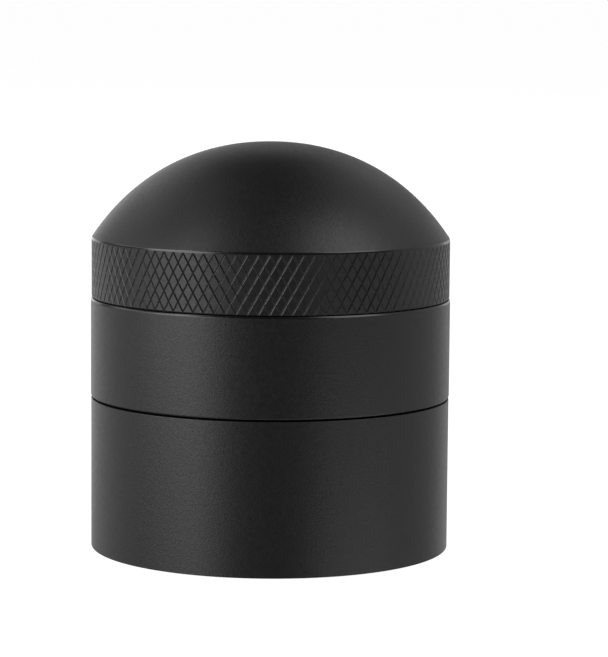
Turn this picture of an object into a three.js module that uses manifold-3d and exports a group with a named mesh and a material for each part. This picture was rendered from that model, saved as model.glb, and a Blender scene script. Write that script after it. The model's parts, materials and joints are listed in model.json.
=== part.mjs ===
// Espresso needle tamper on its storage base. A domed, knurled handle cap carries a plate of steel
// needles and spins on a ball bearing inside a collar. Three locating pins under the collar centre
// it in a filter basket, or in the cup-shaped base that covers the needles when it is put away.
// Millimetres, +Z up. The origin is the centre of the base's underside, on the spin axis.
import * as THREE from "three";
import { mergeVertices } from "three/addons/utils/BufferGeometryUtils.js";
import Module from "manifold-3d";

const wasm = await Module();
wasm.setup();

// ---- Driving dimensions ----
const BODY_R = 29; // the collar, 58 mm across
const CAP_R = 28.88; // the tips of the knurled band
const TOTAL_H = 65.7;
const BASE_TOP = 24.8; // the collar's underside, where it rests on the base
const COLLAR_TOP = 40.64;
const NEEDLE_REACH = 19.7; // needle length below the collar's underside
const NEEDLE_R = 0.45;
const NEEDLE_ARMS = 3;
const NEEDLES_PER_ARM = 5;
const PIN_COUNT = 3;
const SCREW_COUNT = 3;
const BALL_COUNT = 12;

const TOUCH = 0.05; // gap left between faces that touch on the real tool
const BIG_SEGMENTS = 48; // facets round the large turned pieces
const SMALL_SEGMENTS = 32; // facets round the bearing's rings
const HOLE_SEGMENTS = 12;
const NEEDLE_SEGMENTS = 8;

// ---- Materials ----
const finish = (color, roughness, metalness) =>
  new THREE.MeshStandardMaterial({ color, roughness, metalness });
const blackAnodised = finish(0x1b1b1c, 0.42, 0.75);
const steel = finish(0xb4b2ae, 0.28, 1);
const bearingSteel = finish(0xc2c4c8, 0.2, 1);
const springSteel = finish(0x3a3b3f, 0.4, 0.9);
const nylon = finish(0xd8d4c4, 0.5, 0);
const siliconeRubber = finish(0x17181a, 0.8, 0);

// ---- Solids from three.js geometry ----

// A closed three.js geometry as a manifold solid, with its seams merged and its faces pointing out.
function solid(geometry) {
  const bare = new THREE.BufferGeometry();
  bare.setAttribute("position", geometry.getAttribute("position"));
  bare.setIndex(geometry.index);
  const merged = mergeVertices(bare, 1e-3);
  const corners = merged.index.array;
  const triangles = [];
  for (let i = 0; i < corners.length; i += 3) {
    const [a, b, c] = corners.slice(i, i + 3);
    if (a !== b && b !== c && c !== a) triangles.push(a, b, c);
  }
  const build = (indices) =>
    new wasm.Manifold(
      new wasm.Mesh({
        numProp: 3,
        vertProperties: merged.attributes.position.array,
        triVerts: new Uint32Array(indices),
      }),
    );
  const made = build(triangles);
  return made.volume() > 0 ? made : build(triangles.reverse());
}

// A manifold solid back as a geometry for a three.js mesh.
function geometryOf(shape) {
  const { vertProperties, triVerts } = shape.getMesh();
  const geometry = new THREE.BufferGeometry();
  geometry.setAttribute("position", new THREE.BufferAttribute(vertProperties, 3));
  geometry.setIndex(new THREE.BufferAttribute(triVerts, 1));
  geometry.computeVertexNormals();
  return geometry;
}

// A turned solid about Z from an outline of [radius, height] points.
function turned(outline, segments) {
  const points = outline.map(([r, z]) => new THREE.Vector2(r, z));
  if (outline[0][0] > 0) points.push(points[0].clone());
  return solid(new THREE.LatheGeometry(points, segments).rotateX(Math.PI / 2));
}

// An upright cylinder between two heights.
function upright(radius, low, high, segments, x = 0, y = 0) {
  const shape = new THREE.CylinderGeometry(radius, radius, high - low, segments);
  return solid(shape.rotateX(Math.PI / 2).translate(x, y, (low + high) / 2));
}

// Points of an arc in an outline, both ends included.
function arc(centreR, centreZ, radius, from, to, steps) {
  return Array.from({ length: steps + 1 }, (_, i) => {
    const angle = from + ((to - from) * i) / steps;
    return [centreR + radius * Math.cos(angle), centreZ + radius * Math.sin(angle)];
  });
}

// Evenly spaced points on a circle about the axis.
function ringOf(count, radius, startDegrees = 0) {
  return Array.from({ length: count }, (_, i) => {
    const angle = THREE.MathUtils.degToRad(startDegrees + (360 * i) / count);
    return { x: radius * Math.cos(angle), y: radius * Math.sin(angle), angle };
  });
}

function piece(name, shape, material, x = 0, y = 0, z = 0) {
  const geometry = shape.isBufferGeometry ? shape : geometryOf(shape);
  const mesh = new THREE.Mesh(geometry, material);
  mesh.name = name;
  mesh.position.set(x, y, z);
  return mesh;
}

const tamper = new THREE.Group();

// ---- Storage base: a turned cup with a non-slip pad let into its underside ----
const CUP_R = BODY_R - 0.05;
const CUP_BORE_R = 26.4;
const CUP_FOOT = 0.2; // the pad holds the metal this far off the table
const PAD_R = 25;
const PAD_H = 1.15;
const PAD_RECESS_R = PAD_R + 0.3;
const PAD_RECESS_TOP = PAD_H + TOUCH;
const CUP_FLOOR = 3.2;
const CUP_FILLET = 0.7;
const RIM_TOP = BASE_TOP - TOUCH; // the inner lip carries the collar
const RIM_STEP_R = 27.4;
const RIM_OUTER_TOP = BASE_TOP - 0.36; // the lower outer edge leaves a dark shadow gap
const CUP_BEVEL = 0.25;

const cupOutline = [
  [0, PAD_RECESS_TOP],
  [PAD_RECESS_R, PAD_RECESS_TOP],
  [PAD_RECESS_R, CUP_FOOT],
  [CUP_R - CUP_BEVEL, CUP_FOOT],
  [CUP_R, CUP_FOOT + CUP_BEVEL],
  [CUP_R, RIM_OUTER_TOP - CUP_BEVEL / 2],
  [CUP_R - CUP_BEVEL / 2, RIM_OUTER_TOP],
  [RIM_STEP_R, RIM_OUTER_TOP],
  [RIM_STEP_R, RIM_TOP],
  [CUP_BORE_R + CUP_BEVEL, RIM_TOP],
  [CUP_BORE_R, RIM_TOP - CUP_BEVEL],
  [CUP_BORE_R, CUP_FLOOR + CUP_FILLET],
  [CUP_BORE_R - CUP_FILLET, CUP_FLOOR],
  [0, CUP_FLOOR],
];
tamper.add(piece("base_cup", turned(cupOutline, BIG_SEGMENTS), blackAnodised));

const PAD_BEVEL = 0.2;
const padOutline = [
  [0, 0],
  [PAD_R - PAD_BEVEL, 0],
  [PAD_R, PAD_BEVEL],
  [PAD_R, PAD_H],
  [0, PAD_H],
];
tamper.add(piece("base_foot_pad", turned(padOutline, BIG_SEGMENTS), siliconeRubber));

// ---- Bearing: bore 20, outside 32, width 7, on the spin axis ----
const BEARING_Z = 35.4;
const BEARING_HALF_W = 3.5;
const BEARING_BORE_R = 10;
const BEARING_OUTER_R = 15.95;
const BALL_R = 1.7;
const BALL_PITCH_R = 13;
const BALL_PLAY = 0.15;
const INNER_LAND_R = 12;
const OUTER_LAND_R = 14;
const SHIELD_SEAT_R = 14.4;
const SHIELD_SEAT_DEPTH = 0.6;
const GROOVE_STEPS = 4;

const bearing = new THREE.Group();
bearing.position.z = BEARING_Z;

const GROOVE_R = BALL_R + BALL_PLAY;
const innerReach = Math.acos((INNER_LAND_R - BALL_PITCH_R) / GROOVE_R);
const outerReach = Math.acos((OUTER_LAND_R - BALL_PITCH_R) / GROOVE_R);
const RACE_BEVEL = 0.3;

const innerRaceOutline = [
  [BEARING_BORE_R, -BEARING_HALF_W],
  [INNER_LAND_R - RACE_BEVEL, -BEARING_HALF_W],
  [INNER_LAND_R, RACE_BEVEL - BEARING_HALF_W],
  ...arc(BALL_PITCH_R, 0, GROOVE_R, 2 * Math.PI - innerReach, innerReach, GROOVE_STEPS),
  [INNER_LAND_R, BEARING_HALF_W - RACE_BEVEL],
  [INNER_LAND_R - RACE_BEVEL, BEARING_HALF_W],
  [BEARING_BORE_R, BEARING_HALF_W],
];
const innerRace = turned(innerRaceOutline, SMALL_SEGMENTS);
bearing.add(piece("bearing_inner_race", innerRace, bearingSteel));

const outerRaceOutline = [
  [BEARING_OUTER_R, -BEARING_HALF_W + RACE_BEVEL],
  [BEARING_OUTER_R, BEARING_HALF_W - RACE_BEVEL],
  [BEARING_OUTER_R - RACE_BEVEL, BEARING_HALF_W],
  [SHIELD_SEAT_R, BEARING_HALF_W],
  [SHIELD_SEAT_R, BEARING_HALF_W - SHIELD_SEAT_DEPTH],
  [OUTER_LAND_R, BEARING_HALF_W - SHIELD_SEAT_DEPTH],
  ...arc(BALL_PITCH_R, 0, GROOVE_R, outerReach, -outerReach, GROOVE_STEPS),
  [OUTER_LAND_R, SHIELD_SEAT_DEPTH - BEARING_HALF_W],
  [SHIELD_SEAT_R, SHIELD_SEAT_DEPTH - BEARING_HALF_W],
  [SHIELD_SEAT_R, -BEARING_HALF_W],
  [BEARING_OUTER_R - RACE_BEVEL, -BEARING_HALF_W],
];
const outerRace = turned(outerRaceOutline, SMALL_SEGMENTS);
bearing.add(piece("bearing_outer_race", outerRace, bearingSteel));

// Two pressed shields close the bearing against coffee dust.
const SHIELD_T = 0.3;
const SHIELD_Z = BEARING_HALF_W - SHIELD_SEAT_DEPTH + TOUCH;
const shieldOutline = [
  [INNER_LAND_R + 0.25, 0],
  [SHIELD_SEAT_R - TOUCH, 0],
  [SHIELD_SEAT_R - TOUCH, SHIELD_T],
  [INNER_LAND_R + 0.25, SHIELD_T],
];
const shield = geometryOf(turned(shieldOutline, SMALL_SEGMENTS));
bearing.add(piece("bearing_shield_upper", shield, bearingSteel, 0, 0, SHIELD_Z));
bearing.add(piece("bearing_shield_lower", shield, bearingSteel, 0, 0, -SHIELD_Z - SHIELD_T));

// The nylon cage has one round pocket for each ball.
const CAGE_IN_R = INNER_LAND_R + 0.25;
const CAGE_OUT_R = OUTER_LAND_R - 0.25;
const CAGE_HALF_H = 2.4;
const POCKET_SEGMENTS = 8;
const cageOutline = [
  [CAGE_IN_R, -CAGE_HALF_H],
  [CAGE_OUT_R, -CAGE_HALF_H],
  [CAGE_OUT_R, CAGE_HALF_H],
  [CAGE_IN_R, CAGE_HALF_H],
];
let cage = turned(cageOutline, SMALL_SEGMENTS);
for (const { x, y, angle } of ringOf(BALL_COUNT, BALL_PITCH_R)) {
  const pocketR = (BALL_R + BALL_PLAY) / Math.cos(Math.PI / POCKET_SEGMENTS);
  const drill = new THREE.CylinderGeometry(pocketR, pocketR, 3 * BALL_R, POCKET_SEGMENTS);
  drill.rotateZ(Math.PI / 2).rotateZ(angle).translate(x, y, 0);
  cage = cage.subtract(solid(drill));
}
bearing.add(piece("bearing_cage", cage, nylon));

const ball = new THREE.SphereGeometry(BALL_R, 8, 6);
ringOf(BALL_COUNT, BALL_PITCH_R).forEach(({ x, y }, i) => {
  const name = "bearing_ball_" + String(i + 1).padStart(2, "0");
  bearing.add(piece(name, geometryOf(solid(ball)), bearingSteel, x, y, 0));
});
tamper.add(bearing);

// ---- Collar: holds the bearing, covers the needle plate and rests on the basket or the base ----
const COLLAR_BORE_R = 22.9; // the chamber that the needle plate turns in
const BEARING_SEAT_R = 16;
const SEAT_FLOOR = BEARING_Z - BEARING_HALF_W - TOUCH;
const SEAT_LIP_R = 14.6;
const CHAMBER_TOP = 31;
const CLIP_GROOVE_R = 16.9;
const CLIP_GROOVE_LOW = BEARING_Z + BEARING_HALF_W + TOUCH;
const CLIP_GROOVE_HIGH = CLIP_GROOVE_LOW + 1.3;
const COLLAR_LOW_BEVEL = 0.35;
const COLLAR_TOP_BEVEL = 0.22;

const collarOutline = [
  [COLLAR_BORE_R, BASE_TOP + COLLAR_TOP_BEVEL],
  [COLLAR_BORE_R + COLLAR_TOP_BEVEL, BASE_TOP],
  [BODY_R - COLLAR_LOW_BEVEL, BASE_TOP],
  [BODY_R, BASE_TOP + COLLAR_LOW_BEVEL],
  [BODY_R, COLLAR_TOP - COLLAR_TOP_BEVEL],
  [BODY_R - COLLAR_TOP_BEVEL, COLLAR_TOP],
  [BEARING_SEAT_R, COLLAR_TOP],
  [BEARING_SEAT_R, CLIP_GROOVE_HIGH],
  [CLIP_GROOVE_R, CLIP_GROOVE_HIGH],
  [CLIP_GROOVE_R, CLIP_GROOVE_LOW],
  [BEARING_SEAT_R, CLIP_GROOVE_LOW],
  [BEARING_SEAT_R, SEAT_FLOOR],
  [SEAT_LIP_R, SEAT_FLOOR],
  [SEAT_LIP_R, CHAMBER_TOP],
  [COLLAR_BORE_R, CHAMBER_TOP],
];

// Three dowel pins are pressed into blind holes in the collar's underside.
const PIN_R = 1.25;
const PIN_CIRCLE_R = 24.8;
const PIN_PROUD = 4;
const PIN_DEPTH = 4;
const PIN_FIRST_DEGREES = 49;
const pinPlaces = ringOf(PIN_COUNT, PIN_CIRCLE_R, PIN_FIRST_DEGREES);

let collar = turned(collarOutline, BIG_SEGMENTS);
for (const { x, y } of pinPlaces) {
  const top = BASE_TOP + PIN_DEPTH + TOUCH;
  const holeR = PIN_R + TOUCH;
  collar = collar.subtract(upright(holeR, BASE_TOP - 1, top, HOLE_SEGMENTS, x, y));
}
tamper.add(piece("collar", collar, blackAnodised));

const PIN_CHAMFER = 0.3;
const pinOutline = [
  [0, -PIN_PROUD],
  [PIN_R - PIN_CHAMFER, -PIN_PROUD],
  [PIN_R, PIN_CHAMFER - PIN_PROUD],
  [PIN_R, PIN_DEPTH],
  [0, PIN_DEPTH],
];
const pin = geometryOf(turned(pinOutline, HOLE_SEGMENTS));
pinPlaces.forEach(({ x, y }, i) => {
  tamper.add(piece("locating_pin_" + (i + 1), pin, steel, x, y, BASE_TOP));
});

// ---- Retaining ring: an internal circlip over the bearing's outer race ----
const CLIP_T = 1.2;
const CLIP_OUT_R = CLIP_GROOVE_R - 0.1;
const CLIP_IN_R = 14.6;
const CLIP_HALF_GAP = THREE.MathUtils.degToRad(14);
const EAR_R = 1.5;
const EAR_HOLE_R = 0.75;
const EAR_CENTRE_R = 14.3;
const EAR_ANGLE = CLIP_HALF_GAP + 0.09;

const clipShape = new THREE.Shape();
clipShape.absarc(0, 0, CLIP_OUT_R, CLIP_HALF_GAP, 2 * Math.PI - CLIP_HALF_GAP, false);
clipShape.absarc(0, 0, CLIP_IN_R, 2 * Math.PI - CLIP_HALF_GAP, CLIP_HALF_GAP, true);
clipShape.closePath();
const clipOptions = { depth: CLIP_T, bevelEnabled: false, curveSegments: 16 };
let clip = solid(new THREE.ExtrudeGeometry(clipShape, clipOptions));
for (const side of [1, -1]) {
  const x = EAR_CENTRE_R * Math.cos(EAR_ANGLE);
  const y = side * EAR_CENTRE_R * Math.sin(EAR_ANGLE);
  clip = clip.add(upright(EAR_R, 0, CLIP_T, HOLE_SEGMENTS, x, y));
  clip = clip.subtract(upright(EAR_HOLE_R, -1, CLIP_T + 1, HOLE_SEGMENTS, x, y));
}
tamper.add(piece("retaining_ring", clip, springSteel, 0, 0, CLIP_GROOVE_LOW + TOUCH));

// ---- Handle cap: the dome, the knurled band and the spigot that runs in the bearing ----
const CAP_LOW = COLLAR_TOP + 0.16; // running gap over the collar
const CAP_BEVEL = 0.1;
const DOME_A = 35.89; // half width of the superellipse that the dome is cut from
const DOME_B = 41.57; // its half height
const DOME_POWER = 2.136; // its exponent: a little fuller at the shoulder than an ellipse
const DOME_STEPS = 10;
const SPIGOT_R = 9.9;
const SPIGOT_LOW = BEARING_Z - BEARING_HALF_W + 0.1;
const SPIGOT_BEVEL = 0.3;
const SHOULDER_R = 11.7;
const SHOULDER_Z = BEARING_Z + BEARING_HALF_W + TOUCH;
const SKIRT_R = 25.4;
const POCKET_SIDE = 47.8; // height of the pocket at the skirt
const POCKET_TOP = 57;
const POCKET_TOP_R = 15;
const TAP_R = 1.4;
const TAP_DEPTH = 7;
const SCREW_CIRCLE_R = 7.4;
const SCREW_FIRST_DEGREES = 124;
const screwPlaces = ringOf(SCREW_COUNT, SCREW_CIRCLE_R, SCREW_FIRST_DEGREES);

const dome = Array.from({ length: DOME_STEPS + 1 }, (_, i) => {
  const r = i === DOME_STEPS ? 0 : CAP_R * Math.cos((Math.PI / 2) * (i / DOME_STEPS));
  const rise = (1 - (r / DOME_A) ** DOME_POWER) ** (1 / DOME_POWER);
  return [r, TOTAL_H - DOME_B * (1 - rise)];
});
const capOutline = [
  [0, SPIGOT_LOW],
  [SPIGOT_R - SPIGOT_BEVEL, SPIGOT_LOW],
  [SPIGOT_R, SPIGOT_LOW + SPIGOT_BEVEL],
  [SPIGOT_R, SHOULDER_Z],
  [SHOULDER_R, SHOULDER_Z],
  [SHOULDER_R, POCKET_TOP],
  [POCKET_TOP_R, POCKET_TOP],
  [SKIRT_R, POCKET_SIDE],
  [SKIRT_R, CAP_LOW],
  [CAP_R - CAP_BEVEL, CAP_LOW],
  [CAP_R, CAP_LOW + CAP_BEVEL],
  ...dome,
];
let cap = turned(capOutline, BIG_SEGMENTS);
for (const { x, y } of screwPlaces) {
  const top = SPIGOT_LOW + TAP_DEPTH;
  cap = cap.subtract(upright(TAP_R, SPIGOT_LOW - 1, top, HOLE_SEGMENTS, x, y));
}
tamper.add(piece("handle_cap", cap, blackAnodised));

// ---- Needle plate: screwed up against the bearing's inner race, it turns with the cap ----
const PLATE_R = 22.2;
const PLATE_LOW = BASE_TOP + 1.6;
const PLATE_TOP = PLATE_LOW + 4;
const PLATE_BEVEL = 0.3;
const HUB_R = 11.7;
const HUB_TOP = BEARING_Z - BEARING_HALF_W - TOUCH;
const NEEDLE_GRIP = 3.2; // depth of each needle in the plate

// M2.5 screws, with the tapped holes modelled at the thread's outer diameter.
const SCREW_R = 1.25;
const SCREW_HEAD_R = 2.5;
const SCREW_HEAD_H = 1.4;
const SCREW_PLAY = 0.15;
const SCREW_L = 11;
const SOCKET_R = 0.87;
const SOCKET_DEPTH = 1;

// The needles stand on arms that wind out from the middle, evenly spaced along the radius.
const NEEDLE_FIRST_R = 5.5;
const NEEDLE_STEP_R = 3.8;
const NEEDLE_FIRST_DEGREES = 86;
const ARM_WIND_DEGREES = -42; // turn from one needle to the next on an arm
const needlePlaces = [];
for (let step = 0; step < NEEDLES_PER_ARM; step++) {
  const degrees = NEEDLE_FIRST_DEGREES + ARM_WIND_DEGREES * step;
  needlePlaces.push(...ringOf(NEEDLE_ARMS, NEEDLE_FIRST_R + NEEDLE_STEP_R * step, degrees));
}

const plateOutline = [
  [0, PLATE_LOW],
  [PLATE_R - PLATE_BEVEL, PLATE_LOW],
  [PLATE_R, PLATE_LOW + PLATE_BEVEL],
  [PLATE_R, PLATE_TOP - PLATE_BEVEL],
  [PLATE_R - PLATE_BEVEL, PLATE_TOP],
  [HUB_R, PLATE_TOP],
  [HUB_R, HUB_TOP],
  [0, HUB_TOP],
];
const countersink = [
  [0, -0.5],
  [SCREW_HEAD_R + SCREW_PLAY + 0.5, -0.5],
  [SCREW_R + SCREW_PLAY, SCREW_HEAD_H + TOUCH],
  [SCREW_R + SCREW_PLAY, HUB_TOP - PLATE_LOW + 1],
  [0, HUB_TOP - PLATE_LOW + 1],
];
let plate = turned(plateOutline, BIG_SEGMENTS);
const screwHole = turned(countersink, HOLE_SEGMENTS);
for (const { x, y } of screwPlaces) {
  plate = plate.subtract(screwHole.translate(x, y, PLATE_LOW));
}
for (const { x, y } of needlePlaces) {
  const holeTop = PLATE_LOW + NEEDLE_GRIP + TOUCH;
  const holeR = NEEDLE_R + TOUCH;
  plate = plate.subtract(upright(holeR, PLATE_LOW - 1, holeTop, NEEDLE_SEGMENTS, x, y));
}
tamper.add(piece("needle_plate", plate, blackAnodised));

// Countersunk socket screws hold the plate to the spigot.
const screwOutline = [
  [0, TOUCH],
  [SCREW_HEAD_R, TOUCH],
  [SCREW_R, SCREW_HEAD_H],
  [SCREW_R, SCREW_L - 0.4],
  [SCREW_R - 0.4, SCREW_L],
  [0, SCREW_L],
];
const socket = upright(SOCKET_R, -1, SOCKET_DEPTH, 6);
const screw = geometryOf(turned(screwOutline, HOLE_SEGMENTS).subtract(socket));
screwPlaces.forEach(({ x, y }, i) => {
  tamper.add(piece("plate_screw_" + (i + 1), screw, steel, x, y, PLATE_LOW));
});

// Round-tipped needles, measured from the collar's underside.
const NEEDLE_TIP = 0.4;
const needleTop = PLATE_LOW + NEEDLE_GRIP - BASE_TOP;
const needleOutline = [
  [0, -NEEDLE_REACH],
  [NEEDLE_R * 0.6, 0.12 - NEEDLE_REACH],
  [NEEDLE_R, NEEDLE_TIP - NEEDLE_REACH],
  [NEEDLE_R, needleTop],
  [0, needleTop],
];
const needle = geometryOf(turned(needleOutline, NEEDLE_SEGMENTS));
needlePlaces.forEach(({ x, y }, i) => {
  const name = "needle_" + String(i + 1).padStart(2, "0");
  tamper.add(piece(name, needle, steel, x, y, BASE_TOP));
});

export default tamper;
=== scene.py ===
"""A needle espresso tamper on its storage base: black anodised aluminium with a knurled, domed cap."""

import json
import math

import bmesh
import bpy
from mathutils import Euler, Matrix, Vector


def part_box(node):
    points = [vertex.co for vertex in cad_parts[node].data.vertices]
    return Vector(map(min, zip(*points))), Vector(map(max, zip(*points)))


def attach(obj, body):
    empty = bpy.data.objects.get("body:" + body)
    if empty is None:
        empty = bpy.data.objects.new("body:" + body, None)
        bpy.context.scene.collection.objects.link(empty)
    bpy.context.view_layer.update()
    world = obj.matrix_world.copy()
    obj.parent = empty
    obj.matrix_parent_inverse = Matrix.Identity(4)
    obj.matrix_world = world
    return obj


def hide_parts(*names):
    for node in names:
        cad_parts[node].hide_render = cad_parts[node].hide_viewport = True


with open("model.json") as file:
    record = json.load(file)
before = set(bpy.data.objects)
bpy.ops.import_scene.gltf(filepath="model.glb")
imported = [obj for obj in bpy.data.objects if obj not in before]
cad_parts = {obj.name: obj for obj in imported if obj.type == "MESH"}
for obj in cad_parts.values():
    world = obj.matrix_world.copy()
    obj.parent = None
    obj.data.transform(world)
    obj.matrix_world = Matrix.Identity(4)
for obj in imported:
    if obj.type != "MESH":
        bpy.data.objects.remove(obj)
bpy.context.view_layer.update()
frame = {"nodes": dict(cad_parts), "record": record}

# ---- Base cup ----
# The storage base is a cup turned from aluminium bar, bead-blasted to a fine matt grain and anodised
# black. Its raised inner lip carries the collar, and the lower outer edge leaves a thin dark gap.
MM = 0.001
COINCIDENT = 1e-7
CUP_BORE_R = 26.4 * MM
CUP_FLOOR_Z = 3.2 * MM
CUP_FLOOR_FILLET = 0.7 * MM
CUP_LIP_R = 27.4 * MM
CUP_LIP_STEP = 0.25 * MM
PAD_RECESS_R = 25.3 * MM
PAD_RECESS_Z = 1.2 * MM
TURNED_STEPS = 192


def turned(outline, steps=TURNED_STEPS):
    """A bmesh spun about Z from (radius, height) points. A path that starts off it is closed."""
    bm = bmesh.new()
    points = [bm.verts.new((r, 0, z)) for r, z in outline]
    edges = [bm.edges.new(pair) for pair in zip(points, points[1:])]
    if outline[0][0] > 0:
        edges.append(bm.edges.new((points[-1], points[0])))
    axis = {"cent": (0, 0, 0), "axis": (0, 0, 1), "angle": math.tau}
    bmesh.ops.spin(bm, geom=points + edges, steps=steps, use_merge=True, **axis)
    bmesh.ops.remove_doubles(bm, verts=bm.verts, dist=COINCIDENT)
    bmesh.ops.recalc_face_normals(bm, faces=bm.faces)
    return bm


def ease_edges(bm, width, least=math.radians(25), segments=3):
    """Rounds every edge of a bmesh that turns by more than an angle."""
    sharp = [e for e in bm.edges if e.is_manifold and e.calc_face_angle() > least]
    shape = {"offset": width, "affect": "EDGES", "segments": segments, "profile": 0.5}
    bmesh.ops.bevel(bm, geom=sharp, material=-1, clamp_overlap=True, **shape)


def finished(name, bm, material, body, slot, *nodes):
    """The bmesh as a smooth-shaded piece that rides on a body and stands for CAD nodes."""
    mesh = bpy.data.meshes.new(name)
    bm.to_mesh(mesh)
    bm.free()
    mesh.polygons.foreach_set("use_smooth", [True] * len(mesh.polygons))
    mesh.materials.append(material)
    piece = bpy.data.objects.new(name, mesh)
    bpy.context.scene.collection.objects.link(piece)
    shading = piece.modifiers.new("even_shading", "WEIGHTED_NORMAL")
    shading.keep_sharp = True
    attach(piece, body)
    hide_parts(*nodes)
    return piece


def finish_nodes(name, roughness, metallic=0.0, ior=1.5):
    """A material with its node tree, Principled shader and a source of Object coordinates."""
    material = bpy.data.materials.new(name)
    material.use_nodes = True
    tree = material.node_tree
    shader = tree.nodes["Principled BSDF"]
    shader.inputs["Roughness"].default_value = roughness
    shader.inputs["Metallic"].default_value = metallic
    shader.inputs["IOR"].default_value = ior
    place = tree.nodes.new("ShaderNodeTexCoord").outputs["Object"]
    return material, tree, shader, place


def noise(tree, place, scale, detail=2.0, stretch=None):
    """A noise pattern in Object coordinates, scale in features a metre."""
    if stretch:
        mapping = tree.nodes.new("ShaderNodeMapping")
        mapping.inputs["Scale"].default_value = stretch
        tree.links.new(place, mapping.inputs["Vector"])
        place = mapping.outputs["Vector"]
    pattern = tree.nodes.new("ShaderNodeTexNoise")
    pattern.inputs["Scale"].default_value = scale
    pattern.inputs["Detail"].default_value = detail
    tree.links.new(place, pattern.inputs["Vector"])
    return pattern.outputs["Fac"]


def ranged(tree, source, low, high, target):
    """Feeds a pattern to a socket as a value that varies between low and high."""
    spread = tree.nodes.new("ShaderNodeMapRange")
    spread.inputs["From Min"].default_value = 0.3
    spread.inputs["From Max"].default_value = 0.7
    spread.inputs["To Min"].default_value = low
    spread.inputs["To Max"].default_value = high
    tree.links.new(source, spread.inputs["Value"])
    tree.links.new(spread.outputs["Result"], target)


def two_tone(tree, source, dark, light, target):
    """Feeds a pattern to a colour socket as a blend of two colours."""
    ramp = tree.nodes.new("ShaderNodeValToRGB")
    ramp.color_ramp.elements[0].position = 0.3
    ramp.color_ramp.elements[0].color = (*dark, 1)
    ramp.color_ramp.elements[1].position = 0.7
    ramp.color_ramp.elements[1].color = (*light, 1)
    tree.links.new(source, ramp.inputs["Fac"])
    tree.links.new(ramp.outputs["Color"], target)


def relief(tree, source, depth, shader, strength=1.0, under=None):
    """Turns a pattern into bump, in metres of relief, on top of another bump if one is given."""
    bump = tree.nodes.new("ShaderNodeBump")
    bump.inputs["Strength"].default_value = strength
    bump.inputs["Distance"].default_value = depth
    tree.links.new(source, bump.inputs["Height"])
    if under:
        tree.links.new(under, bump.inputs["Normal"])
    tree.links.new(bump.outputs["Normal"], shader.inputs["Normal"])
    return bump.outputs["Normal"]


ANODISED_DARK = (0.0022, 0.0022, 0.0023)
ANODISED_LIGHT = (0.0036, 0.0036, 0.0037)

black_anodised, tree, shader, place = finish_nodes("black_anodised", 0.42)
mottle = noise(tree, place, 700, 3.0)
two_tone(tree, mottle, ANODISED_DARK, ANODISED_LIGHT, shader.inputs["Base Color"])
ranged(tree, noise(tree, place, 1600), 0.39, 0.45, shader.inputs["Roughness"])
blasted = relief(tree, noise(tree, place, 6000, 1.0), 2e-5, shader, 0.5)
relief(tree, noise(tree, place, 2800, 2.0), 4.5e-5, shader, 0.5, under=blasted)

cup_low, cup_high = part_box("base_cup")
cup_r = cup_high.x
cup_edge_z = cup_high.z - CUP_LIP_STEP
cup = turned(
    [
        (0, PAD_RECESS_Z),
        (PAD_RECESS_R, PAD_RECESS_Z),
        (PAD_RECESS_R, cup_low.z),
        (cup_r, cup_low.z),
        (cup_r, cup_edge_z),
        (CUP_LIP_R, cup_edge_z),
        (CUP_LIP_R, cup_high.z),
        (CUP_BORE_R, cup_high.z),
        (CUP_BORE_R, CUP_FLOOR_Z + CUP_FLOOR_FILLET),
        (CUP_BORE_R - CUP_FLOOR_FILLET, CUP_FLOOR_Z),
        (0, CUP_FLOOR_Z),
    ]
)
ease_edges(cup, 0.12 * MM)
finished("base_cup_turned", cup, black_anodised, "base", "black_anodised", "base_cup")

# ---- Foot pad ----
# A die-cut disc of black silicone rubber, glued into the recess under the cup, keeps it from sliding.
foot_rubber, tree, shader, place = finish_nodes("foot_rubber", 0.75)
two_tone(
    tree,
    noise(tree, place, 300, 3.0),
    (0.010, 0.010, 0.011),
    (0.017, 0.017, 0.018),
    shader.inputs["Base Color"],
)
relief(tree, noise(tree, place, 2500, 3.0), 2e-5, shader, 0.5)

pad_low, pad_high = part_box("base_foot_pad")
pad = turned([(0, 0), (pad_high.x, 0), (pad_high.x, pad_high.z), (0, pad_high.z)])
ease_edges(pad, 0.2 * MM)
finished("foot_pad_disc", pad, foot_rubber, "base", "foot_rubber", "base_foot_pad")

# ---- Collar ----
# The plain middle ring, turned and finished like the base. Its underside rests on the basket's rim or
# on the base, the needle plate turns in the chamber below, and the bearing sits in the bore above.
COLLAR_CHAMBER_R = 22.9 * MM
COLLAR_CHAMBER_TOP = 31 * MM
COLLAR_LOW_BEVEL_IN = 0.1 * MM
COLLAR_LOW_BEVEL_UP = 0.25 * MM
COLLAR_TOP_BEVEL_IN = 0.15 * MM
COLLAR_TOP_BEVEL_DOWN = 0.32 * MM
BEARING_SEAT_R = 16 * MM
SEAT_LIP_R = 14.6 * MM
CLIP_GROOVE_R = 16.9 * MM
SEAT_GAP = 0.05 * MM
EDGE_R = 28.4 * MM

cut_edge, tree, shader, place = finish_nodes("cut_edge", 0.22)
mottle = noise(tree, place, 700, 3.0)
two_tone(tree, mottle, ANODISED_DARK, ANODISED_LIGHT, shader.inputs["Base Color"])
ranged(tree, noise(tree, place, 1600), 0.19, 0.25, shader.inputs["Roughness"])


def burnished(piece, low, high):
    """Gives the outer faces between two heights the smoother finish of a freshly cut edge."""
    piece.data.materials.append(cut_edge)
    for face in piece.data.polygons:
        x, y, z = face.center
        if low < z < high and math.hypot(x, y) > EDGE_R:
            face.material_index = 1


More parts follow.
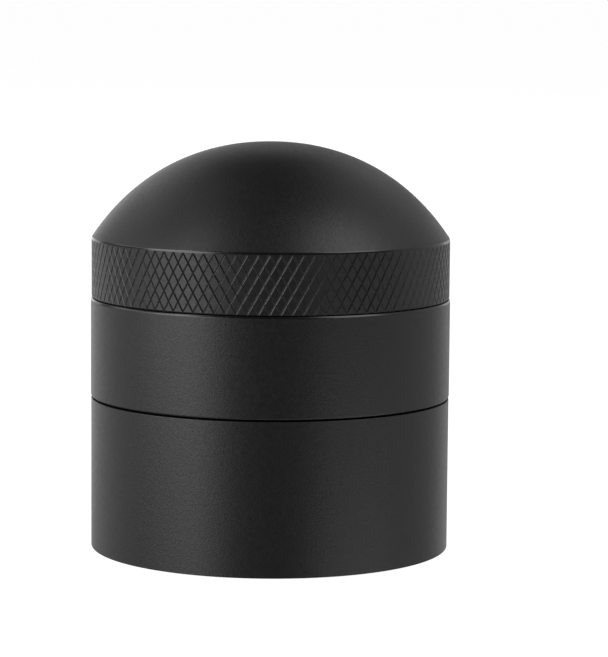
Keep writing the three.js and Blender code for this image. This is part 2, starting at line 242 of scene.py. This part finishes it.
race_low, race_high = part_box("bearing_outer_race")
clip_low, clip_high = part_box("retaining_ring")
collar_low, collar_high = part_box("collar")
seat_z = race_low.z - SEAT_GAP
groove_low = clip_low.z - SEAT_GAP
groove_high = clip_high.z + SEAT_GAP
collar = turned(
    [
        (COLLAR_CHAMBER_R, collar_low.z),
        (collar_high.x - COLLAR_LOW_BEVEL_IN, collar_low.z),
        (collar_high.x, collar_low.z + COLLAR_LOW_BEVEL_UP),
        (collar_high.x, collar_high.z - COLLAR_TOP_BEVEL_DOWN),
        (collar_high.x - COLLAR_TOP_BEVEL_IN, collar_high.z),
        (BEARING_SEAT_R, collar_high.z),
        (BEARING_SEAT_R, groove_high),
        (CLIP_GROOVE_R, groove_high),
        (CLIP_GROOVE_R, groove_low),
        (BEARING_SEAT_R, groove_low),
        (BEARING_SEAT_R, seat_z),
        (SEAT_LIP_R, seat_z),
        (SEAT_LIP_R, COLLAR_CHAMBER_TOP),
        (COLLAR_CHAMBER_R, COLLAR_CHAMBER_TOP),
    ]
)
ease_edges(collar, 0.05 * MM)
piece = finished("collar_turned", collar, black_anodised, "ring", "black_anodised", "collar")
burnished(piece, collar_high.z - COLLAR_TOP_BEVEL_DOWN, collar_high.z)

# ---- Locating pins ----
# Three ground steel dowels pressed into the collar's underside. They centre the tool inside a filter
# basket, and inside the base cup when it is put away.
PIN_CHAMFER = 0.3 * MM
PIN_STEPS = 40

steel, tree, shader, place = finish_nodes("stainless_steel", 0.24, metallic=1.0)
two_tone(
    tree,
    noise(tree, place, 900, 3.0),
    (0.50, 0.49, 0.475),
    (0.62, 0.61, 0.59),
    shader.inputs["Base Color"],
)
drawn = noise(tree, place, 3000, 3.0, stretch=(1, 1, 0.03))
ranged(tree, drawn, 0.17, 0.32, shader.inputs["Roughness"])
relief(tree, drawn, 4e-6, shader, 0.5)


def centred(node):
    """The x and y of a CAD node's middle, its lowest and highest z, and its radius."""
    low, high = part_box(node)
    middle = (low + high) / 2
    return middle.x, middle.y, low.z, high.z, (high.x - low.x) / 2


def upright_rod(node, outline_of, steps):
    """A turned rod on a CAD node's own upright axis. outline_of gets its radius and two ends."""
    x, y, low, high, radius = centred(node)
    rod = turned(outline_of(radius, low, high), steps)
    bmesh.ops.translate(rod, verts=rod.verts, vec=(x, y, 0))
    return rod


def pin_outline(radius, low, high):
    return [
        (0, low),
        (radius - PIN_CHAMFER, low),
        (radius, low + PIN_CHAMFER),
        (radius, high),
        (0, high),
    ]


bodies = frame["record"]["behaviour"]["bodies"]
for node in (n for n in bodies["ring"] if n.startswith("locating_pin")):
    pin = upright_rod(node, pin_outline, PIN_STEPS)
    ease_edges(pin, 0.08 * MM)
    finished(node + "_dowel", pin, steel, "ring", "steel", node)

# ---- Handle cap ----
# The part that the palm turns: a dome over a diamond-knurled grip, turned in one piece from aluminium,
# hollowed from below, blasted and anodised black. The knurl is rolled in, so flat-topped diamonds stand
# between narrow V grooves that run out into the plain edges above and below.
DIAMONDS_ROUND = 105
DIAMOND_ROWS = 3
KNURL_LOW_Z = 40.95 * MM
KNURL_HIGH_Z = 50.0 * MM
KNURL_START = math.radians(1.5)
GROOVE_HALF_WIDTH = 0.15 * MM
GROOVE_DEPTH = 0.1 * MM
RUN_OUT = 0.05 * MM
WELD = 0.02 * MM
SHARP_ANGLE = math.radians(16)
CAP_GAP = 0.16 * MM
CAP_LOW_BEVEL = 0.1 * MM
DOME_HALF_WIDTH = 35.89 * MM
DOME_HALF_HEIGHT = 41.57 * MM
DOME_POWER = 2.136
DOME_RINGS = 40
CORNER_REACH = 0.21 * MM
CORNER_RINGS = 4

cap_low, cap_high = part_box("handle_cap")
grip_r = cap_high.x
collar_gap_z = collar_high.z + CAP_GAP
diamond_w = math.tau * grip_r / DIAMONDS_ROUND
diamond_h = (KNURL_HIGH_Z - KNURL_LOW_Z) / DIAMOND_ROWS
groove_r = grip_r - GROOVE_DEPTH

cap = bmesh.new()
stand = Matrix.Rotation(math.radians(90), 3, "X")
for row in range(2 * DIAMOND_ROWS + 1):
    start = bmesh.ops.create_circle(cap, cap_ends=True, segments=4, radius=1)["verts"]
    bmesh.ops.scale(cap, verts=start, vec=(diamond_w / 2, diamond_h / 2, 1))
    bmesh.ops.rotate(cap, verts=start, matrix=stand)
    middle = Vector((0, -groove_r, KNURL_LOW_Z + row * diamond_h / 2))
    bmesh.ops.translate(cap, verts=start, vec=middle)
    turn = Matrix.Rotation(KNURL_START + math.pi * (row % 2) / DIAMONDS_ROUND, 3, "Z")
    bmesh.ops.rotate(cap, verts=start, cent=(0, 0, 0), matrix=turn)
    faces = list({f for v in start for f in v.link_faces})
    ring = {"cent": (0, 0, 0), "axis": (0, 0, 1), "angle": math.tau, "steps": DIAMONDS_ROUND}
    bmesh.ops.spin(cap, geom=start + faces, use_duplicate=True, **ring)
    bmesh.ops.delete(cap, geom=start, context="VERTS")


def to_radius(verts, radius, z=None):
    """Slides vertices along their own radii to a radius, and to a height if one is given."""
    for v in verts:
        reach = Vector((v.co.x, v.co.y, 0)).normalized() * radius
        v.co = (reach.x, reach.y, v.co.z if z is None else z)


to_radius(cap.verts, groove_r)
bmesh.ops.remove_doubles(cap, verts=cap.verts, dist=WELD)
bmesh.ops.recalc_face_normals(cap, faces=cap.faces)
if cap.faces[:][0].normal.dot(cap.faces[:][0].calc_center_median()) < 0:
    bmesh.ops.reverse_faces(cap, faces=cap.faces)
tops = list(cap.faces)
bmesh.ops.inset_individual(
    cap, faces=tops, thickness=GROOVE_HALF_WIDTH, depth=GROOVE_DEPTH, use_even_offset=True
)
crests = {v for f in tops for v in f.verts}
to_radius(crests, grip_r)
to_radius(set(cap.verts) - crests, groove_r)
bmesh.ops.triangulate(cap, faces=tops, quad_method="LONG_EDGE")
for cut_z, outward in ((KNURL_HIGH_Z, 1), (KNURL_LOW_Z, -1)):
    plane = {"plane_co": (0, 0, cut_z), "plane_no": (0, 0, outward), "dist": WELD / 2}
    everything = cap.verts[:] + cap.edges[:] + cap.faces[:]
    bmesh.ops.bisect_plane(cap, geom=everything, clear_outer=True, **plane)


def rim_at(bm, z):
    """The open edges that lie at a height."""
    return [
        e for e in bm.edges if e.is_boundary and all(abs(v.co.z - z) < WELD for v in e.verts)
    ]


def carried_on(bm, rim, outline):
    """Extrudes a round rim through each (radius, height) of an outline in turn."""
    for radius, z in outline:
        grown = bmesh.ops.extrude_edge_only(bm, edges=rim)["geom"]
        to_radius([g for g in grown if isinstance(g, bmesh.types.BMVert)], radius, z)
        rim = [g for g in grown if isinstance(g, bmesh.types.BMEdge)]


def on_dome(radius):
    """The dome's outline, a superellipse, at a radius."""
    rise = (1 - (radius / DOME_HALF_WIDTH) ** DOME_POWER) ** (1 / DOME_POWER)
    return radius, cap_high.z - DOME_HALF_HEIGHT * (1 - rise)


corner = on_dome(grip_r)
below = (grip_r, corner[1] - CORNER_REACH)
above = on_dome(grip_r - CORNER_REACH / 2)
upper = [(grip_r, KNURL_HIGH_Z + RUN_OUT)]
for i in range(CORNER_RINGS + 1):
    t = i / CORNER_RINGS
    weights = ((1 - t) ** 2, 2 * t * (1 - t), t**2)
    upper.append([sum(w * p[k] for w, p in zip(weights, (below, corner, above))) for k in (0, 1)])
for i in range(1, DOME_RINGS):
    upper.append(on_dome(above[0] * math.cos(math.pi / 2 * i / DOME_RINGS)))
upper.append((0, cap_high.z))
carried_on(cap, rim_at(cap, KNURL_HIGH_Z), upper)

SKIRT_R = 25.4 * MM
POCKET_SIDE_Z = 47.8 * MM
POCKET_TOP_Z = 57 * MM
POCKET_TOP_R = 15 * MM
SHOULDER_R = 11.7 * MM
SHOULDER_Z = 38.95 * MM
SPIGOT_R = 9.9 * MM
SPIGOT_BEVEL = 0.3 * MM
lower = [
    (grip_r - CAP_LOW_BEVEL, collar_gap_z),
    (SKIRT_R, collar_gap_z),
    (SKIRT_R, POCKET_SIDE_Z),
    (POCKET_TOP_R, POCKET_TOP_Z),
    (SHOULDER_R, POCKET_TOP_Z),
    (SHOULDER_R, SHOULDER_Z),
    (SPIGOT_R, SHOULDER_Z),
    (SPIGOT_R, cap_low.z + SPIGOT_BEVEL),
    (SPIGOT_R - SPIGOT_BEVEL, cap_low.z),
    (0, cap_low.z),
]
carried_on(cap, rim_at(cap, KNURL_LOW_Z), lower)
bmesh.ops.remove_doubles(cap, verts=cap.verts, dist=COINCIDENT)
bmesh.ops.recalc_face_normals(cap, faces=cap.faces)
for edge in cap.edges:
    if edge.is_manifold and edge.calc_face_angle() > SHARP_ANGLE:
        edge.smooth = False
piece = finished("knurled_cap", cap, black_anodised, "handle", "black_anodised", "handle_cap")
burnished(piece, below[1], above[1])

# ---- Needle plate ----
# A turned aluminium disc with a hub that bears on the bearing's inner race. The needles are pressed
# into blind holes, and three countersunk holes take the screws that pull it up to the cap's spigot.
PLATE_EDGE = 0.3 * MM
HUB_R = 11.7 * MM
HUB_HEIGHT = 1.45 * MM
SINK_R = 2.7 * MM
SINK_DEPTH = 1.45 * MM
SINK_HOLE_R = 1.4 * MM

plate_low, plate_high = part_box("needle_plate")
plate_top = plate_high.z - HUB_HEIGHT
plate = turned(
    [
        (0, plate_low.z),
        (plate_high.x - PLATE_EDGE, plate_low.z),
        (plate_high.x, plate_low.z + PLATE_EDGE),
        (plate_high.x, plate_top),
        (HUB_R, plate_top),
        (HUB_R, plate_high.z),
        (0, plate_high.z),
    ]
)
ease_edges(plate, 0.06 * MM)
plate_piece = finished(
    "needle_plate_disc", plate, black_anodised, "handle", "black_anodised", "needle_plate"
)

# ---- Plate screws ----
# Stainless countersunk screws with hexagon sockets. They go up through the plate into the cap's spigot,
# and their heads lie just below the plate's face.
SOCKET_R = 0.87 * MM
SOCKET_DEPTH = 1.0 * MM
SCREW_HEAD_H = 1.4 * MM
SCREW_SHANK_R = 1.25 * MM
SCREW_END_BEVEL = 0.4 * MM
SCREW_STEPS = 48
CUT_PAST = 0.5 * MM


def screw_outline(radius, low, high):
    return [
        (0, low),
        (radius, low),
        (SCREW_SHANK_R, low + SCREW_HEAD_H),
        (SCREW_SHANK_R, high - SCREW_END_BEVEL),
        (SCREW_SHANK_R - SCREW_END_BEVEL, high),
        (0, high),
    ]


def cut_from(piece, name, bm):
    """Cuts a closed bmesh out of a piece and leaves no modifier behind."""
    mesh = bpy.data.meshes.new(name)
    bm.to_mesh(mesh)
    bm.free()
    cutter = bpy.data.objects.new(name, mesh)
    bpy.context.scene.collection.objects.link(cutter)
    cut = piece.modifiers.new("cut", "BOOLEAN")
    cut.operation = "DIFFERENCE"
    cut.solver = "EXACT"
    cut.object = cutter
    piece.modifiers.move(len(piece.modifiers) - 1, 0)
    with bpy.context.temp_override(object=piece, active_object=piece):
        bpy.ops.object.modifier_apply(modifier=cut.name)
    bpy.data.objects.remove(cutter)


for node in (n for n in bodies["handle"] if n.startswith("plate_screw")):
    x, y, low, high, radius = centred(node)
    sink = turned(
        [
            (0, plate_low.z - CUT_PAST),
            (SINK_R + CUT_PAST, plate_low.z - CUT_PAST),
            (SINK_R, plate_low.z),
            (SINK_HOLE_R, plate_low.z + SINK_DEPTH),
            (SINK_HOLE_R, plate_high.z + CUT_PAST),
            (0, plate_high.z + CUT_PAST),
        ],
        SCREW_STEPS,
    )
    bmesh.ops.translate(sink, verts=sink.verts, vec=(x, y, 0))
    cut_from(plate_piece, "sink", sink)
    screw = upright_rod(node, screw_outline, SCREW_STEPS)
    ease_edges(screw, 0.06 * MM)
    piece = finished(node + "_socket", screw, steel, "handle", "steel", node)
    key = bmesh.new()
    sides = {"segments": 6, "radius1": SOCKET_R, "radius2": SOCKET_R, "cap_ends": True}
    bmesh.ops.create_cone(key, depth=2 * SOCKET_DEPTH, **sides)
    bmesh.ops.translate(key, verts=key.verts, vec=(x, y, low))
    cut_from(piece, "key", key)

# ---- Needles ----
# Straight drawn stainless needles with rounded tips, set on three arms that wind out from the middle,
# so that together they sweep the whole bed of coffee.
TIP_STEPS = 6
NEEDLE_STEPS = 24


def needle_outline(radius, low, high):
    tip = [
        (radius * math.sin(t), low + radius * (1 - math.cos(t)))
        for t in (math.pi / 2 * i / TIP_STEPS for i in range(TIP_STEPS + 1))
    ]
    return [*tip, (radius, high), (0, high)]


for node in (n for n in bodies["handle"] if n.startswith("needle_") and n != "needle_plate"):
    needle = upright_rod(node, needle_outline, NEEDLE_STEPS)
    finished(node + "_drawn", needle, steel, "handle", "steel", node)

# ---- Bearing and retaining ring ----
# A shielded deep-groove ball bearing carries the cap in the collar: ground steel races and balls, a
# moulded nylon cage, and a phosphated spring-steel ring that snaps into the collar's groove above.
bearing_steel, tree, shader, place = finish_nodes("bearing_steel", 0.16, metallic=1.0)
two_tone(
    tree,
    noise(tree, place, 500, 3.0),
    (0.56, 0.57, 0.59),
    (0.66, 0.67, 0.69),
    shader.inputs["Base Color"],
)
ground = noise(tree, place, 2500, 3.0, stretch=(0.1, 0.1, 1))
ranged(tree, ground, 0.1, 0.24, shader.inputs["Roughness"])
relief(tree, ground, 3e-6, shader, 0.4)

spring_steel, tree, shader, place = finish_nodes("spring_steel", 0.45, metallic=0.8)
two_tone(
    tree,
    noise(tree, place, 1200, 4.0),
    (0.030, 0.030, 0.034),
    (0.070, 0.070, 0.078),
    shader.inputs["Base Color"],
)
relief(tree, noise(tree, place, 4000, 3.0), 6e-6, shader, 0.5)

cage_nylon, tree, shader, place = finish_nodes("cage_nylon", 0.5)
two_tone(
    tree,
    noise(tree, place, 400, 3.0),
    (0.66, 0.62, 0.50),
    (0.76, 0.72, 0.60),
    shader.inputs["Base Color"],
)
relief(tree, noise(tree, place, 3000, 3.0), 8e-6, shader, 0.4)

inner_finishes = {
    "bearing_inner_race": bearing_steel,
    "bearing_outer_race": bearing_steel,
    "bearing_shield_upper": bearing_steel,
    "bearing_shield_lower": bearing_steel,
    "bearing_cage": cage_nylon,
    "retaining_ring": spring_steel,
}
for node, piece in frame["nodes"].items():
    if node.startswith("bearing_ball") or node in inner_finishes:
        piece.data.materials.clear()
        piece.data.materials.append(inner_finishes.get(node, bearing_steel))

# ---- Floor, lights and camera ----
# A plain table, kept evenly white by a glow of its own. It doesn't show in reflections and blocks no
# light, because the panels that reach below it stand in for its bounce. The camera looks slightly down.
FLOOR_SIZE = 30
FLOOR_Z = -0.02 * MM
FLOOR_GLOW = 0.97
FLOOR_COLOUR = (0.25, 0.25, 0.25, 1)

floor_bm = bmesh.new()
bmesh.ops.create_grid(floor_bm, x_segments=1, y_segments=1, size=FLOOR_SIZE)
floor_mesh = bpy.data.meshes.new("floor")
floor_bm.to_mesh(floor_mesh)
floor_bm.free()
floor = bpy.data.objects.new("floor", floor_mesh)
floor.location.z = FLOOR_Z
bpy.context.scene.collection.objects.link(floor)
floor.visible_glossy = False
floor.visible_shadow = False
white_table, tree, shader, place = finish_nodes("white_table", 0.9)
shader.inputs["Base Color"].default_value = FLOOR_COLOUR
shader.inputs["Specular IOR Level"].default_value = 0
shader.inputs["Emission Color"].default_value = (1, 1, 1, 1)
shader.inputs["Emission Strength"].default_value = FLOOR_GLOW
floor_mesh.materials.append(white_table)

# Each panel is its span of azimuth, its span of elevation and its radiance, with azimuths counted from
# the viewer's side to the viewer's right. All rows but the last two are the output of a least-squares
# fit of the tones on the plain turned surfaces, and were not chosen by hand. A few soft boxes set by
# hand should take their place.
PANEL_DISTANCE = 1.2
PANEL_AIM_Z = 0.033
PANELS = (
    (-54, -34, -22, 2, 1.6),
    (-84, -38, -6, 37, 3.7),
    (-74, -58, 32, 63, 3.4),
    (-124, -66, 17, 30, 1.5),
    (-145, -88, -18, 1, 0.8),
    (40, 85, 28, 66, 2.7),
    (30, 85, -30, -18, 3.6),
    (79, 156, -28, 62, 0.45),
    (144, 208, -29, 12, 0.7),
    (-177, -139, -11, 18, 0.8),
    (-161, -126, 18, 44, 0.55),
    (157, 208, 20, 32, 0.7),
    (-143, -91, 32, 70, 0.42),
    (-80, 0, -66, -34, 0.5),
    (0, 80, -66, -34, 0.5),
)
aim = Vector((0, 0, PANEL_AIM_Z))
for i, (left, right, low, high, radiance) in enumerate(PANELS):
    a = math.radians((left + right) / 2)
    e = math.radians((low + high) / 2)
    way = Vector((math.sin(a) * math.cos(e), -math.cos(a) * math.cos(e), math.sin(e)))
    data = bpy.data.lights.new(f"panel_{i + 1}", "AREA")
    data.shape = "RECTANGLE"
    data.size = 2 * PANEL_DISTANCE * math.tan(math.radians(right - left) / 2) * math.cos(e)
    data.size_y = 2 * PANEL_DISTANCE * math.tan(math.radians(high - low) / 2)
    data.energy = radiance * math.pi * data.size * data.size_y
    panel = bpy.data.objects.new(data.name, data)
    panel.location = aim + way * PANEL_DISTANCE
    panel.rotation_euler = way.to_track_quat("Z", "Y").to_euler()
    panel.visible_camera = False
    bpy.context.scene.collection.objects.link(panel)

ROOM_LIGHT = 0.06

world = bpy.data.worlds.new("studio")
world.use_nodes = True
tree = world.node_tree
room = tree.nodes["Background"]
room.inputs["Color"].default_value = (1, 1, 1, 1)
room.inputs["Strength"].default_value = ROOM_LIGHT
seen = tree.nodes.new("ShaderNodeBackground")
seen.inputs["Color"].default_value = (1, 1, 1, 1)
seen.inputs["Strength"].default_value = 1.0
rays = tree.nodes.new("ShaderNodeLightPath")
blend = tree.nodes.new("ShaderNodeMixShader")
tree.links.new(rays.outputs["Is Camera Ray"], blend.inputs["Fac"])
tree.links.new(room.outputs["Background"], blend.inputs[1])
tree.links.new(seen.outputs["Background"], blend.inputs[2])
tree.links.new(blend.outputs["Shader"], tree.nodes["World Output"].inputs["Surface"])
bpy.context.scene.world = world
bpy.context.scene.view_settings.view_transform = "Standard"

CAMERA_LENS = 158.0
CAMERA_DISTANCE = 0.46365
CAMERA_HEIGHT = 0.09035
CAMERA_DOWN = 0.11776
CAMERA_RIGHT = 0.01172
CAMERA_ROLL = 0.00805

camera_data = bpy.data.cameras.new("camera")
camera_data.lens = CAMERA_LENS
camera = bpy.data.objects.new("camera", camera_data)
camera.location = (0, -CAMERA_DISTANCE, CAMERA_HEIGHT)
look = Euler((math.radians(90) - CAMERA_DOWN, 0, -CAMERA_RIGHT)).to_matrix()
camera.rotation_euler = (look @ Matrix.Rotation(CAMERA_ROLL, 3, "Z")).to_euler()
bpy.context.scene.collection.objects.link(camera)
bpy.context.scene.camera = camera
